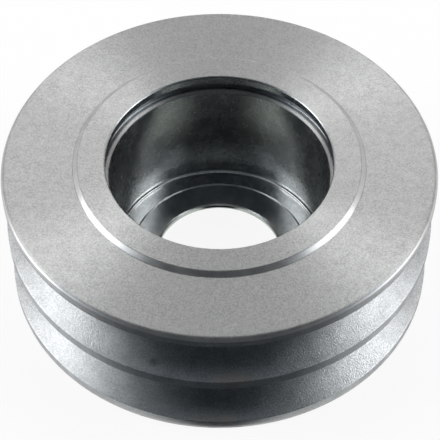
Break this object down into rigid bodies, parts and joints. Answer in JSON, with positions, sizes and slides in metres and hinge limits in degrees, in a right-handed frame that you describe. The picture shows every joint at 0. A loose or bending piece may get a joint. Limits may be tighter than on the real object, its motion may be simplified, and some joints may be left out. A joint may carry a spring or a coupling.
{
  "type": "alternator pulley",
  "caption": "Turned steel V-belt pulley with side-by-side belt grooves, a low hub ring, a deep bearing seat with a retaining-ring groove, and a thin holed web at the rear.",
  "frame": {"origin": "centre of the rear face, on the pulley's axis", "axes": "+Z along the axis of rotation, from the rear face towards the open mouth at the front"},
  "size_m": [0.082, 0.082, 0.0293],
  "materials": {
    "turned_steel": "bare steel as turned, fine concentric tool marks, satin faces"
  },
  "bodies": {
    "root": {"pulley": "turned_steel"}
  },
  "joints": []
}
